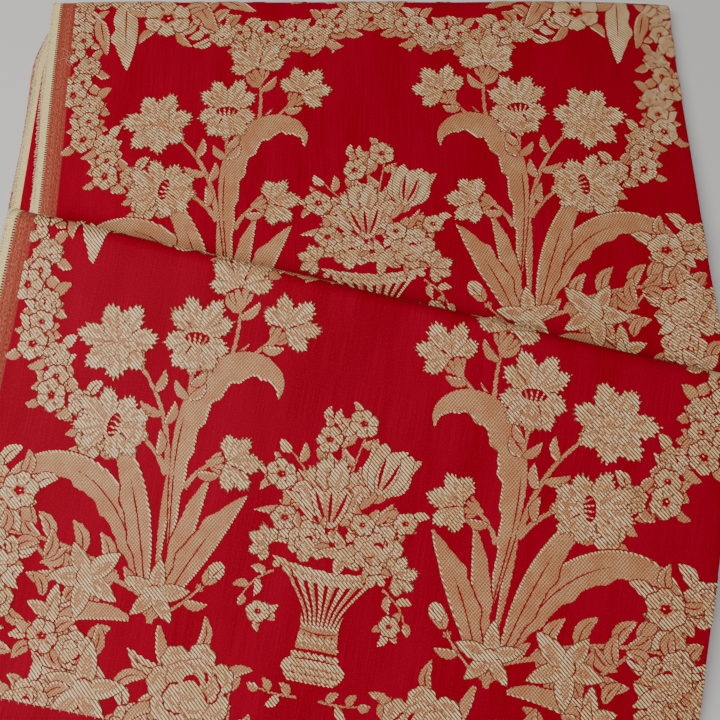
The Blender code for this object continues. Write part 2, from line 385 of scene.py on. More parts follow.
def iris(r, key=1.0):
    """A large flag flower: standards that lean together over a ribbed cup, and two falls at its sides."""
    shapes = []
    for angle, long, wide in ((34, 1.35, 0.62), (-36, 1.3, 0.62), (12, 1.55, 0.6), (-13, 1.5, 0.58)):
        p = toothed(long * r * 0.92, wide * r, key + angle)
        # each standard has a dark ring: partly binding threads, partly a painted shadow line along its edge
        one = [(OPEN, grow(p, 0.6)), (BIND_AND_SHADOW, grow(p, 0.35)), (TWILL, p), (MATT, band(*strip((0, 0.3 * r), (0.04 * r, long * 0.7 * r), 0.09 * r)))]
        shapes += put(one, 0, -0.35 * r, 1, angle)
    for side in (-1, 1):
        line, at = curve(np.array([(side * 0.1, -0.75), (side * 0.55, -0.35), (side * 0.8, 0.12), (side * 1.12, 0.0)]) * r, 1.0)
        w = 0.2 * r * np.sin(pi * np.clip(at / at[-1], 0.05, 0.985)) ** 0.6
        shapes += [(OPEN, band(line, w + 0.45, -w - 0.45)), (TWILL, band(line, w, -w)), (MATT, band(line, w * 0.2, -w * 0.3))]
    t = np.linspace(-1, 1, 15)
    cup = np.vstack([np.stack([0.62 * t, 0.1 + 0.09 * np.cos(3 * pi * t)], 1), np.stack([0.62 * t[::-1], -1.0 + 1.05 * np.abs(t[::-1]) ** 2.2], 1)[1:-1]]) * r
    shapes += [(OPEN, grow(cup, 0.5)), (TWILL, cup)]
    for k in range(5):
        lean = (k - 2) / 2
        shapes.append((OPEN if k % 2 == 0 else MATT, arcline([(0.1 * lean * r, -0.85 * r), (0.3 * lean * r, -0.4 * r), (0.46 * lean * r, 0.04 * r)], 0.1 * r)))
    return shapes


def arcline(points, width):
    line, at = curve(points, 1.0)
    t = at / at[-1]
    w = width / 2 * np.sin(pi * np.clip(t, 0.02, 0.98)) ** 0.5
    return band(line, w, -w)


KINDS = {"aster": aster, "trumpet": trumpet, "fan": fan, "star": star, "round": round_flower, "rose": rose, "bud": bud, "calyx": calyx, "tulip": tulip, "iris": iris}


# How plants grow here. A direction is an angle from straight up, more to the left, in degrees; turn is how far the line has turned
# by its end, and late says how much of that comes near the end.
def grown(x, y, angle, length, turn=0.0, late=1.5, steps=26):
    t = np.linspace(0, 1, steps)
    a = np.radians(angle + turn * t**late)
    d = length / (steps - 1)
    return np.stack([x - np.concatenate([[0], np.cumsum(np.sin(a[1:]))]) * d, y + np.concatenate([[0], np.cumsum(np.cos(a[1:]))]) * d], 1)


def long_leaf(x, y, angle, length, turn, late, width, widest, edge, wave=0.1, rib=(0.05, 0.6), rib_at=0.0, tone=MATT):
    t = np.linspace(0, 1, 17)
    w = width * np.sin(pi * np.clip(0.05 + 0.95 * t, 0, 1) ** (math.log(0.5) / math.log(widest))) ** 0.8
    return blade(grown(x, y, angle, length, turn, late), list(np.maximum(w, 0.3)), edge, wave, rib, rib_at, tone=tone)


def stalk(x, y, angle, length, turn, width, kind, size, nod=0.0):
    """A stem, a few leaves on it, and a flower in its calyx at its end."""
    line = grown(x, y, angle, length, turn, 1.2)
    shapes = stem(line, width)
    for k in range(int(length / 17)):
        i = int((0.3 + 0.5 * noise(x, y, k)) * len(line))
        side = 42 if k % 2 else -42
        tip = grown(*line[i], angle + turn * 0.5 + side, 10 + 4 * noise(x, k))[-1]
        shapes += leaf(*line[i], *tip, 4.6, 0.12 if side > 0 else -0.12, "EMF"[k % 3], 0.45)
    end = angle + turn + nod
    top = line[-1] + np.array([-sin(radians(end)), cos(radians(end))]) * (0.62 * size)
    shapes += put(calyx(0.42 * size), *(line[-1] + (top - line[-1]) * 0.1), 1, end)
    return shapes + put(KINDS[kind](size, x * 1.7 + y), *top, 1, end)


def tuft(x, y, radius, leaves, start, stop, length, width, key):
    """Leaves that stand out all round a flower, from one angle to another."""
    shapes = []
    for k in range(leaves):
        a = start + (stop - start) * (k + 0.5) / leaves + 16 * (noise(key, k) - 0.5)
        r = radius * 0.75
        foot = (x - r * sin(radians(a)), y + r * cos(radians(a)))
        tip = grown(*foot, a + 14 * (noise(key, k, 2) - 0.5), length * (0.8 + 0.4 * noise(key, k, 3)))[-1]
        shapes += leaf(*foot, *tip, width * (0.85 + 0.3 * noise(key, k, 4)), 0.14 if k % 2 else -0.14, "TEMTFE"[(k + int(key)) % 6], 0.45)
    return shapes


def garland(x, y, angle, length, turn, late, kinds, sizes, spread, key, leaf_length=9.5, leaf_width=5.0, stemmed=0.0):
    """Flowers strung along a line, a little to its left and right in turn, with leaves between them."""
    line = grown(x, y, angle, length, turn, late, 60)
    n = sides(line)
    run, k, under, over = 0.0, 0, [], []
    if stemmed:
        under += stem(line, stemmed)
    while run < length:
        size = sizes[k % len(sizes)]
        i = min(int(run / length * 59), 59)
        side = (-1, 1, 0.25)[k % 3] * spread
        px, py = line[i] + n[i] * side
        a = math.degrees(math.atan2(-n[i][1], -n[i][0])) + (0 if side < 0 else 180)
        under += tuft(px, py, size, 4, -160, 160, leaf_length, leaf_width, key + k * 3.1)
        over += put(KINDS[kinds[k % len(kinds)]](size, key + k * 2.3), px, py, 1, 360 * noise(key, k, 8))
        run += 1.32 * size
        k += 1
    return under + over


# MARK: tables
# The half of the figure left of the middle line, laid out on a five millimetre grid and in five degree steps.
CLUMP = (-80.0, -105.0)
# The clump's long leaves: start from the clump's foot across and up, direction, length, turn, late, width, widest place, cream edge, wave,
# stretch of the open midrib, its place across.
CLUMP_LEAVES = (
    (-5, 5, 25, 115, 145, 2.2, 15.5, 0.46, "R", 0.10, (0.04, 0.6), 0.1),
    (-5, 5, 15, 80, 15, 1.5, 13, 0.52, "R", 0.10, (0.05, 0.66), 0.0),
    (0, 5, 5, 130, -45, 2.0, 6.5, 0.6, "R", 0.0, None, 0.0),
    (5, 5, 5, 150, -180, 4.5, 15, 0.72, "RW", 0.0, (0.02, 0.7), 0.5),
    (5, 5, -5, 60, -15, 1.5, 9.5, 0.45, "R", 0.08, None, 0.0),
    (5, 0, -20, 65, -20, 1.5, 13, 0.5, "R", 0.12, (0.08, 0.62), 0.0),
    (-10, -10, 75, 40, 60, 1.2, 8.5, 0.5, "L", 0.12, None, 0.0),
    (5, -10, 195, 35, 20, 1.2, 6, 0.45, "R", 0.0, None, 0.0),
)
# The clump's flowers: start from its foot, direction, length, turn, stem's width, kind, size, nod.
CLUMP_STALKS = (
    (-5, 60, 5, 60, 45, 3.0, "aster", 19.5, 5), (-5, 60, 30, 25, 35, 3.0, "trumpet", 19.0, 15), (0, 60, 0, 55, 5, 3.2, "trumpet", 19.0, -5),
    (5, 55, -20, 20, -45, 2.8, "fan", 15.5, -15), (15, 115, -10, 35, 20, 2.4, "fan", 18.0, 0), (20, 115, -35, 25, -10, 2.4, "fan", 16.5, 10),
    (0, 0, 65, 25, 15, 3.4, "star", 17.5, 20), (0, -10, 0, 5, 0, 3.0, "star", 14.5, 0), (5, -5, -55, 22, 20, 1.8, "bud", 6.5, 0),
)
# Garlands: start, direction, length, turn, late, kinds, sizes, spread, key, leaves' length and width, stem's width.
GARLANDS = (
    (-170, 90, 180, 140, 65, 2.0, ("round", "rose", "round"), (8.0, 7.0, 6.0), 5.0, 4.0, 9.0, 5.0, 0.0),
    (-175, 100, 275, 55, 10, 1.0, ("rose", "round", "rose"), (11.5, 10.0, 12.5), 3.0, 9.0, 11.0, 6.5, 0.0),
    (-165, -60, 180, 130, 0, 1.0, ("rose", "star", "round", "rose"), (11.0, 12.5, 9.0, 11.0), 7.0, 2.0, 11.5, 6.5, 1.6),
    (-120, -120, 175, 65, 20, 1.0, ("star", "rose", "round"), (12.5, 11.0, 9.0), 8.0, 6.0, 12.0, 6.5, 2.0),
    (-5, 90, 135, 110, -85, 1.0, ("round", "rose", "round"), (6.5, 8.0, 5.5), 2.5, 5.0, 11.0, 6.0, 2.4),
    (-95, -165, 260, 80, 25, 1.0, ("rose", "round", "star"), (10.5, 8.0, 10.0), 8.0, 7.0, 12.0, 6.5, 1.6),
)
# Twigs with leaves left and right: start, direction, length, turn, leaves, their length and width, stem's width.
TWIGS = (
    (-100, -95, 70, 60, 25, 8, 15.0, 7.0, 2.6), (-105, -115, 65, 55, -35, 7, 14.0, 6.5, 2.4), (0, 100, 80, 65, 20, 6, 12.0, 6.0, 1.8), (-20, 80, 160, 20, -25, 3, 10.0, 5.0, 1.4),
    (-55, -155, 130, 45, 20, 5, 13.0, 7.0, 2.0), (-5, -135, 95, 20, -20, 4, 7.0, 4.0, 1.2), (-30, -165, 20, 30, -15, 3, 12.0, 7.0, 1.6), (-35, -170, 255, 30, 20, 4, 10.0, 5.5, 1.6),
)
# Hanging leaves and single flowers.
PENDANTS = ((-145, 95, 180, 45, 10, 15.0, TWILL), (-105, 100, 205, 30, 15, 10.0, MATT), (-90, 100, 235, 25, 20, 7.5, MATT), (-160, 85, 190, 25, 10, 8.0, MATT))
SINGLES = (
    ("rose", -55, -140, 21.0), ("star", -105, -150, 19.0), ("round", 0, 97, 11.0), ("round", -120, 85, 13.5), ("round", -155, -65, 9.5), ("rose", -160, -95, 11.5), ("round", -130, -130, 8.0), ("rose", -130, -160, 11.0),
)
# The flowers in the urn, which aren't mirrored: kind, across, up, size, turned.
URN_STEMS = ((-5, -55, 5, 50, 5), (0, -55, -5, 50, -10), (5, -55, -20, 40, -20), (-5, -55, 25, 40, 25), (-5, -60, 45, 35, 15), (10, -60, -50, 30, -25), (0, -60, 0, 55, 15))
URN_FLOWERS = (
    ("round", 5, -5, 7.0, 0), ("round", -10, -15, 6.5, 0), ("iris", -5, -40, 16.5, 5), ("tulip", 20, -25, 12.5, -15), ("round", -30, -35, 7.5, 0), ("round", -25, -55, 6.5, 0), ("round", 32, -48, 5.5, 0),
    ("rose", -12, -64, 10.0, 0), ("star", 5, -67, 10.0, 20), ("rose", 21, -62, 12.0, 0), ("fan", 33, -72, 10.5, -70), ("fan", -33, -68, 9.5, 75), ("round", 12, -52, 5.5, 0),
    ("round", -30, -100, 5.5, 0), ("round", 32, -96, 5.0, 0),
)


def urn():
    """A fluted cup on a beaded collar and a scalloped foot."""
    shapes = []
    lip, waist, half = -73.0, -103.0, 28.0
    up = np.linspace(0, 1, 14)
    wide = 9.0 + (half - 9.0) * up**2.0
    rim = np.linspace(1, -1, 25)
    mouth = np.stack([rim * half, lip - 4.0 * (1 - rim**2) + 0.9 * np.abs(np.sin(rim * 4.5 * pi))], 1)
    body = np.vstack([np.stack([wide, waist + (lip - waist) * up], 1), mouth[1:-1], np.stack([-wide[::-1], waist + (lip - waist) * up[::-1]], 1)])
    shapes += [(OPEN, grow(body, 0.6)), (TWILL, body)]
    for k in range(9):  # flutes from the collar to the mouth
        lean = (k - 4) / 4
        line, at = curve([(7.0 * lean, waist + 1), (11.0 * lean, -93), (half * 0.86 * lean, -79.5 + 3.5 * lean * lean)], 1.0)
        u = at / at[-1]
        w = (0.25 + 0.8 * u) * np.clip((1.02 - u) / 0.12, 0.1, 1)
        shapes.append((OPEN, band(line, w, -w)))
        if k % 2:
            shapes.append((MATT, band(line, w + 1.2 * u + 0.2, w + 0.05)))
    shapes.append((TWILL, arcline([(-half, lip - 0.5), (-half * 0.5, lip - 4.0), (0, lip - 5.0), (half * 0.5, lip - 4.0), (half, lip - 0.5)], 2.2)))
    shapes.append((MATT, arcline([(-half * 0.9, lip - 2.6), (0, lip - 6.8), (half * 0.9, lip - 2.6)], 1.0)))
    for k in range(11):  # small scallops under the mouth
        t = (k - 5) / 5
        shapes.append((TWILL, blob(half * 0.9 * t, lip - 8.2 + 4.4 * t * t, 1.9, 1.6)))
    collar = -113.0
    shapes.append((MATT, np.array([(-9, waist), (9, waist), (10, collar), (-10, collar)], float)))
    shapes.append((OPEN, arcline([(-9.5, waist - 1), (0, waist - 2.4), (9.5, waist - 1)], 0.7)))
    for k in range(6):
        x = -8.1 + 3.25 * k
        shapes += [(TWILL, blob(x, -108.4, 1.45, 1.9)), (OPEN, blob(x + 1.6, -106.2, 0.45, 0.7, 0, 8)), (TWILL, blob(x + 1.6, -111.4, 0.9, 0.8, 0, 8))]
    shapes.append((OPEN, arcline([(-10.5, collar - 0.6), (0, collar - 0.2), (10.5, collar - 0.6)], 0.8)))
    shapes += [(TWILL, blob(3.3 * (k - 3), collar - 2.6, 1.75, 1.5)) for k in range(7)]
    up = np.linspace(0, 1, 9)
    edge = np.stack([10.5 + 4.5 * np.sin(pi * up**0.8), -117.0 - 11.0 * up], 1)
    foot = np.vstack([edge, edge[::-1] * (-1, 1)])
    shapes += [(TWILL, foot), (OPEN, arcline([(-11, -117.6), (0, -117.2), (11, -117.6)], 0.7))]
    for row, (y, count) in enumerate(((-119.4, 8), (-122.2, 8), (-125.0, 7))):
        for k in range(count):
            x = 25.0 * ((k + 0.5) / count - 0.5)
            shapes += [(MATT, arc(x, y, 1.9, 195, 345, 0.95)), (OPEN, arc(x, y - 0.5, 1.85, 205, 335, 0.35)), (MATT, blob(x, y + 0.3, 0.5, 0.5, 0, 7))]
    return shapes


def twig(x, y, angle, length, turn, leaves, leaf_length, leaf_width, width):
    line = grown(x, y, angle, length, turn)
    shapes = stem(line, width)
    for k in range(leaves):
        t = (k + 0.8) / leaves
        i = min(int(t * 25), 25)
        a = angle + turn * t**1.5 + (48 if k % 2 else -48) * (1 if k < leaves - 1 else 0)
        tip = grown(*line[i], a, leaf_length * (1.1 - 0.25 * t + 0.2 * noise(x, k)))[-1]
        shapes += leaf(*line[i], *tip, leaf_width, 0.14 if k % 2 else -0.14, "ETMF"[k % 4], 0.45)
    return shapes


def half_tile():
    shapes = []
    for row in TWIGS:
        shapes += twig(*row)
    for row in GARLANDS:
        shapes += garland(*row)
    for x, y, angle, length, turn, width, tone in PENDANTS:
        shapes += long_leaf(x, y, angle, length, turn, 1.2, width, 0.4, "L", 0.16, (0.1, 0.62), 0.05, tone)
    for dx, dy, *row in CLUMP_LEAVES:
        shapes += long_leaf(CLUMP[0] + dx, CLUMP[1] + dy, *row)
    for kind, x, y, size in SINGLES:
        if x:
            shapes += tuft(x, y, size, 5, -170, 170, 0.55 * size + 6, 6.0, x + y) + put(KINDS[kind](size, x * 1.7 + y), x, y, 1, 0)
    for dx, dy, *row in CLUMP_STALKS:
        shapes += stalk(CLUMP[0] + dx, CLUMP[1] + dy, *row)
    return shapes


def urn_tile():
    shapes = []
    for x, y, angle, length, turn in URN_STEMS:
        shapes += twig(x, y, angle, length, turn, 6, 9.0, 4.4, 1.3)
    for angle in range(-100, 101, 20):
        shapes += tuft(0, -62, 18 + 6 * noise(angle), 1, angle - 8, angle + 8, 22, 5.0, angle + 3)
    shapes += urn()
    for side in (-1, 1):
        shapes += twig(side * 26, -80, -side * 120, 20, -side * 45, 4, 7.0, 3.8, 1.2)
    for kind, x, y, size, angle in URN_FLOWERS:
        shapes += tuft(x, y, size * 0.8, 3, 40 - 360 * noise(x, y), 200 - 360 * noise(x, y), 0.3 * size + 5, 3.8, x - y) if kind in ("round", "rose", "star") else []
        shapes += put(KINDS[kind](size, x * 1.7 + y), x, y, 1.0, angle)
    return shapes + round_tile()


def round_tile():
    """The single flowers on the middle line."""
    return [shape for kind, x, y, size in SINGLES if not x for shape in put(KINDS[kind](size, y), x, y)]


def tile():
    """One whole repeat: x from -MIRROR to MIRROR."""
    half = half_tile()
    return half + [(tone, p * (-1, 1)) for tone, p in half] + urn_tile()
# MARK: end of the figure

# ------------------------------------------------------------------------------------------------------------------- the cloth
# The folded shape, as in the part: u is across the cloth, s along it toward the hem of the flap, in millimetres.
THICK, HEM_THICK, HEM_WIDTH, HEM_STEP = 1.2, 2.1, 12.0, 3.0
LAYER_STEP = 2.6
LEFT_EDGE, RIGHT_FOLD, LOWER_LEFT = -190.0, 175.5, -187.0
EDGE_WAVE, SOFT_START, SOFT_DROP = 0.5, 14.0, 0.35
INNER_END, HEM_END = -384.0, 504.0
BENDS = (
    (-109.28, -1.0, 5.5, -180.0, 18),
    (75.0, -11.5, 150.0, -2.0, 2),
    (175.979, -9.15, 2.4, 175.8275, 12),
    (258.579, -4.0, 6.5, -183.0497, 22),
    (455.317, -1.0564, 160.0, 9.2151, 5),
)
SLIPS = ((-384.0, -12.0), (-150.0, -12.0), (-96.0, 0.0), (150.0, 0.0), (257.0, -27.03), (504.0, -27.03))
SWELLS = (
    (138.0, 112.0, 26.0, 20.0, -2.4), (174.0, 108.0, 16.0, 34.0, 2.4), (-150.0, -20.0, 60.0, 50.0, 0.9), (20.0, 10.0, 80.0, 45.0, -0.9),
    (120.0, -30.0, 50.0, 40.0, 0.8), (-200.0, 30.0, 50.0, 95.0, -3.8), (190.0, -60.0, 45.0, 70.0, -3.6), (-150.0, 285.0, 70.0, 40.0, 0.4),
    (120.0, 285.0, 60.0, 40.0, -1.4), (-60.0, 380.0, 50.0, 60.0, 1.0), (60.0, 400.0, 45.0, 60.0, -0.9), (150.0, 370.0, 40.0, 60.0, 1.0),
)
LIFT_FROM, LIFT_OVER = 3.9, 4.4
MIDDLE = np.array((-28.99, -327.10, 0.0))  # of the cloth, before it is centred
FOLD_RADIUS = (LAYER_STEP - SOFT_DROP) / 2
FOLD_LENGTH = pi * FOLD_RADIUS
WIDTH_END = RIGHT_FOLD + FOLD_LENGTH + RIGHT_FOLD - LOWER_LEFT  # across the flat cloth, from the middle line of the upper half


def smooth(t):
    t = np.clip(t, 0.0, 1.0)
    return t * t * (3 - 2 * t)


def slip_at(s):
    s = np.asarray(s, float)
    slip = np.full(s.shape, SLIPS[0][1])
    for (s0, k0), (s1, k1) in zip(SLIPS, SLIPS[1:]):
        slip = slip + (k1 - k0) * smooth((s - s0) / (s1 - s0))
    return slip


def stretches():
    turn = radians(2 * BENDS[0][1])
    eu, es, face = np.array((cos(turn), sin(turn), 0)), np.array((-sin(turn), cos(turn), 0)), np.array((0.0, 0.0, -1.0))
    origin = np.array((0.0, 0.0, THICK / 2))
    found = []
    for s0, angle, radius, turned, rows in BENDS:
        a, t, side = radians(angle), abs(radians(turned)), 1 if turned > 0 else -1
        line, ahead = cos(a) * eu - sin(a) * es, sin(a) * eu + cos(a) * es
        found.append((origin, eu, es, face, s0, a, radius, t, side, line, ahead))
        after, face_after = cos(t) * ahead + sin(t) * side * face, cos(t) * face - sin(t) * side * ahead
        end = origin + s0 * es + radius * sin(t) * ahead + radius * (1 - cos(t)) * side * face
        past = radius * t
        eu, es = cos(a) * line + sin(a) * after, -sin(a) * line + cos(a) * after
        origin = end - past * sin(a) * eu - (s0 + past * cos(a)) * es
        face = face_after
    found.append((origin, eu, es, face))
    return found


STRETCHES = stretches()


def place(u, s, off):
    """Where points of the cloth lie, in metres in the frame of the part."""
    u, s, off = (np.asarray(k, float) for k in (u, s, off))
    v = (u + slip_at(s))[:, None]
    t = s[:, None]
    o = off[:, None]
    spot = np.zeros((len(u), 3))
    left = np.ones(len(u), bool)
    for part in STRETCHES:
        origin, eu, es, face = part[:4]
        base = origin + v * eu + t * es
        if len(part) == 4:
            spot[left] = (base + o * face)[left]
            break
        s0, a, radius, turned, side, line, ahead = part[4:]
        past = v * sin(a) + (t - s0) * cos(a)
        flat = left & (past[:, 0] <= 0)
        spot[flat] = (base + o * face)[flat]
        bent = left & (past[:, 0] > 0) & (past[:, 0] < radius * turned)
        phi = past / radius
        curved = base - past * ahead + radius * np.sin(phi) * ahead + radius * (1 - np.cos(phi)) * side * face
        curved += o * (np.cos(phi) * face - np.sin(phi) * side * ahead)
        spot[bent] = curved[bent]
        left &= past[:, 0] >= radius * turned
    lift = np.clip((spot[:, 2] - LIFT_FROM) / LIFT_OVER, 0, 1)
    high = np.zeros(len(u))
    for u0, s0, reach_u, reach_s, height in SWELLS:
        high += height * np.exp(-(((u - u0) / reach_u) ** 2) - ((s - s0) / reach_s) ** 2)
    spot[:, 2] += (high + ripple(u, s)) * lift
    return (spot - MIDDLE) * MM


def ripple(u, s):
    """Small handling waves, under a third of a millimetre, that the part leaves out."""
    wave = 0.16 * np.sin(u / 15.0 + 1.7 * np.sin(s / 61.0)) * np.sin(s / 48.0 + u / 90.0)
    wave += 0.10 * np.sin(u / 8.1 - s / 37.0) * np.sin(s / 29.0 + 0.8)
    return wave


def section(w):
    """Across the flat cloth: w from the middle line of the upper half, through the right fold, to the edge of the lower half."""
    w = np.asarray(w, float)
    start = RIGHT_FOLD - SOFT_START
    soft = np.clip((w - start) / SOFT_START, 0, 1)
    u = w.copy()
    off = -SOFT_DROP * soft**1.35
    a = 0.05 * soft * (1 - soft) * 4 * 0.6
    turn = np.clip((w - RIGHT_FOLD) / FOLD_RADIUS, 0, pi)
    past = w > RIGHT_FOLD
    u = np.where(past, RIGHT_FOLD + FOLD_RADIUS * np.sin(turn), u)
    off = np.where(past, -SOFT_DROP - FOLD_RADIUS + FOLD_RADIUS * np.cos(turn), off)
    a = np.where(past, turn, a)
    under = w > RIGHT_FOLD + FOLD_LENGTH
    u = np.where(under, RIGHT_FOLD - (w - RIGHT_FOLD - FOLD_LENGTH), u)
    return u, off, a


def thickness_at(s):
    start = HEM_END - HEM_WIDTH - HEM_STEP / 2
    return THICK + (HEM_THICK - THICK) * np.clip((s - start) / HEM_STEP, 0, 1)


def lay(w, s, above, sign=1.0):
    """Points of the folded cloth: above is the height over the face (or under the back, with sign -1)."""
    u, off, a = section(w)
    half = sign * (thickness_at(np.asarray(s, float)) / 2 + above)
    return place(u + half * np.sin(a), s, off + half * np.cos(a))


def edge_wave(s, k):
    return EDGE_WAVE * (np.sin(s / 17.0 + k) + np.sin(s / 41.0))


def lines_along():
    """Lines across the cloth: s on the middle line, and the angle of the line."""
    found = []
    start, start_angle = INNER_END, 0.0
    for bend in BENDS + (None,):
        end, end_angle = (bend[0], bend[1]) if bend else (HEM_END - HEM_WIDTH - HEM_STEP / 2, 0.0)
        count = max(1, int((end - start) / 6.5))
        for i in range(count):
            found.append((start + (end - start) * i / count, start_angle + (end_angle - start_angle) * i / count))
        if bend:
            s0, angle, radius, turned, steps = bend
            length = radius * abs(radians(turned)) / cos(radians(angle))
            for i in range(steps):
                found.append((s0 + length * i / steps, angle))
            start, start_angle = s0 + length, angle
    found += [(HEM_END - HEM_WIDTH - HEM_STEP / 2 + k, 0.0) for k in (0, 1.5, 3.0, 6.0, 9.0, 12.0)] + [(HEM_END, 0.0)]
    return found


def columns():
    found = list(np.linspace(LEFT_EDGE, RIGHT_FOLD - SOFT_START, 56))
    found += list(RIGHT_FOLD - SOFT_START + np.array((3.5, 7.0, 10.5, 14.0)))
    found += list(RIGHT_FOLD + FOLD_LENGTH * np.arange(1, 9) / 8)
    found += list(np.linspace(RIGHT_FOLD + FOLD_LENGTH, WIDTH_END, 50)[1:])
    return np.array(found)


def new_object(name, verts, faces, uvs=None, materials=(), slots=None, smooth_faces=True):
    data = bpy.data.meshes.new(name)
    data.from_pydata([tuple(v) for v in verts], [], faces)
    if uvs is not None:
        layer = data.uv_layers.new(name="cloth")
        loops = np.zeros(len(data.loops), np.int32)
        data.loops.foreach_get("vertex_index", loops)
        flat = np.asarray(uvs, np.float32)[loops]
        layer.data.foreach_set("uv", flat.ravel())
    for m in materials:
        data.materials.append(m)
    if slots is not None:
        data.polygons.foreach_set("material_index", np.asarray(slots, np.int32))
    data.polygons.foreach_set("use_smooth", [smooth_faces] * len(data.polygons))
    data.update()
    made = bpy.data.objects.new(name, data)
    bpy.context.scene.collection.objects.link(made)
    return made


def ground(materials):
    cols, rows = columns(), lines_along()
    n, m = len(cols), len(rows)
    W = np.zeros((m, n))
    S = np.zeros((m, n))
    for i, (s_mid, angle) in enumerate(rows):
        w = cols.copy()
        w[0] += edge_wave(s_mid, 0)
        w[-1] -= edge_wave(s_mid, 5)
        u, off, a = section(w)
        W[i] = w
        S[i] = s_mid - (u + slip_at(np.array([s_mid]))[0]) * tan(radians(angle))
    outer = lay(W.ravel(), S.ravel(), 0.0, 1.0)
    inner = lay(W.ravel(), S.ravel(), 0.0, -1.0)
    verts = np.vstack([outer, inner])
    uvs = np.stack([np.concatenate([W.ravel(), W.ravel()]) / 1000.0, np.concatenate([S.ravel(), S.ravel() + 2000.0]) / 1000.0], 1)
    N = m * n
    faces = []
    for i in range(m - 1):
        for j in range(n - 1):
            a, b, c, d = i * n + j, (i + 1) * n + j, (i + 1) * n + j + 1, i * n + j + 1
            faces.append((a, b, c, d))
            faces.append((N + a, N + d, N + c, N + b))
    for i in range(m - 1):
        a, b = i * n, (i + 1) * n
        faces.append((a, N + a, N + b, b))
        a, b = i * n + n - 1, (i + 1) * n + n - 1
        faces.append((a, b, N + b, N + a))
    for j in range(n - 1):
        a, b = j, j + 1
        faces.append((a, b, N + b, N + a))
        a, b = (m - 1) * n + j, (m - 1) * n + j + 1
        faces.append((a, N + a, N + b, b))
    return new_object("cloth_ground", verts, faces, uvs, materials)


# ------------------------------------------------------------------------------------------------- the figure, cut out and laid
def rugged(outline, pitch, depth):
    """The outline in short steps, with teeth where the slanting cream floats end."""
    p = np.asarray(outline, float)
    q = np.vstack([p, p[:1]])
    seg = np.hypot(*np.diff(q, axis=0).T)
    total = seg.sum()
    if total < 2.0:
        return None
    n = max(6, int(total / pitch))
    at = np.concatenate([[0], np.cumsum(seg)])
    want = np.linspace(0, total, n, endpoint=False)
    x = np.interp(want, at, q[:, 0])
    y = np.interp(want, at, q[:, 1])
    r = np.stack([x, y], 1)
    d = np.roll(r, -1, 0) - np.roll(r, 1, 0)
    d /= np.maximum(np.hypot(d[:, 0], d[:, 1]), 1e-9)[:, None]
    a = radians(TWILL_ANGLE)
    phase = 2 * pi * (x * sin(a) + y * cos(a)) / TWILL_PITCH
    tooth = depth * (np.sin(phase) + 0.6 * np.sin(phase * 0.37 + x) + 0.5 * np.sin(x * 2.9 + 1.3 * y))
    return r + np.stack([-d[:, 1], d[:, 0]], 1) * tooth[:, None]


def inside(points, outline):
    """Which points lie inside an outline (even-odd)."""
    x, y = points[:, 0][:, None], points[:, 1][:, None]
    a, b = outline, np.roll(outline, -1, 0)
    ay, by = a[:, 1][None], b[:, 1][None]
    cross = (ay > y) != (by > y)
    with np.errstate(divide="ignore", invalid="ignore"):
        at = (b[:, 0] - a[:, 0])[None] * (y - ay) / (by - ay) + a[:, 0][None]
    return (np.sum(cross & (x < at), 1) % 2) == 1


def toned(points, faces, kept, box):
    """The tone of each triangle: that of the last shape that covers its middle."""
    w0, w1, s0, s1 = box
    C = points[faces].mean(1)
    tones = np.zeros(len(faces), np.int8)
    order = np.argsort(C[:, 0])
    cx = C[order, 0]
    for tone, p in kept:
        lo, hi = np.searchsorted(cx, (p[:, 0].min(), p[:, 0].max()))
        near = order[lo:hi]
        near = near[(C[near, 1] >= p[:, 1].min()) & (C[near, 1] <= p[:, 1].max())]
        if len(near):
            tones[near[inside(C[near], p)]] = tone
    tones[(C[:, 0] < w0) | (C[:, 0] > w1) | (C[:, 1] < s0) | (C[:, 1] > s1)] = 0
    return tones


def triangulated(chains):
    """Triangles between chains of points, (points, closed), that may cross each other."""
    verts, edges = [], []
    for points, closed in chains:
        start = len(verts)
        verts.extend(map(Vector, points.tolist()))
        edges.extend(zip(range(start, start + len(points) - 1), range(start + 1, start + len(points))))
        if closed:
            edges.append((start + len(points) - 1, start))
    out_verts, _, out_faces, _, _, _ = delaunay_2d_cdt(verts, edges, [], 0, 1e-4, False)
    return np.array([(v[0], v[1]) for v in out_verts]), np.array([f for f in out_faces if len(f) == 3], np.int64)


def borders(points, faces, tones):
    """The lines where the tone changes, as chains of point numbers between the places where they meet."""
    E = np.sort(np.concatenate([faces[:, (0, 1)], faces[:, (1, 2)], faces[:, (2, 0)]]), 1)
    key = E[:, 0] * len(points) + E[:, 1]
    T = np.tile(tones, 3)
    order = np.argsort(key, kind="stable")
    key, T, E = key[order], T[order], E[order]
    pair = np.nonzero(key[1:] == key[:-1])[0]
    marked = E[pair[T[pair] != T[pair + 1]]]
    beside = {}
    for a, b in marked.tolist():
        beside.setdefault(a, []).append(b)
        beside.setdefault(b, []).append(a)
    found = []
    ends = [v for v in beside if len(beside[v]) != 2]
    for start in ends + list(beside):
        while beside[start]:
            run = [start]
            here = start
            while beside[here]:
                after = beside[here].pop()
                beside[after].remove(here)
                run.append(after)
                here = after
                if len(beside[here]) != 1 or here == start:
                    break
            found.append(run)
    return found


def plainer(p, most):
    """A line without the points that lie within `most` of the straight lines between the others."""
    keep = np.zeros(len(p), bool)
    keep[0] = keep[-1] = True
    if len(p) > 3 and np.hypot(*(p[0] - p[-1])) < 1e-9:
        keep[len(p) // 2] = True
    todo = [tuple(k) for k in np.stack([np.nonzero(keep)[0][:-1], np.nonzero(keep)[0][1:]], 1)]
    while todo:
        i, j = todo.pop()
        if j - i < 2:
            continue
        d = p[j] - p[i]
        long = max(float(np.hypot(*d)), 1e-9)
        off = np.abs((p[i + 1 : j, 0] - p[i, 0]) * d[1] - (p[i + 1 : j, 1] - p[i, 1]) * d[0]) / long
        k = int(np.argmax(off))
        if off[k] > most:
            keep[i + 1 + k] = True
            todo += [(i, i + 1 + k), (i + 1 + k, j)]
    return p[keep]


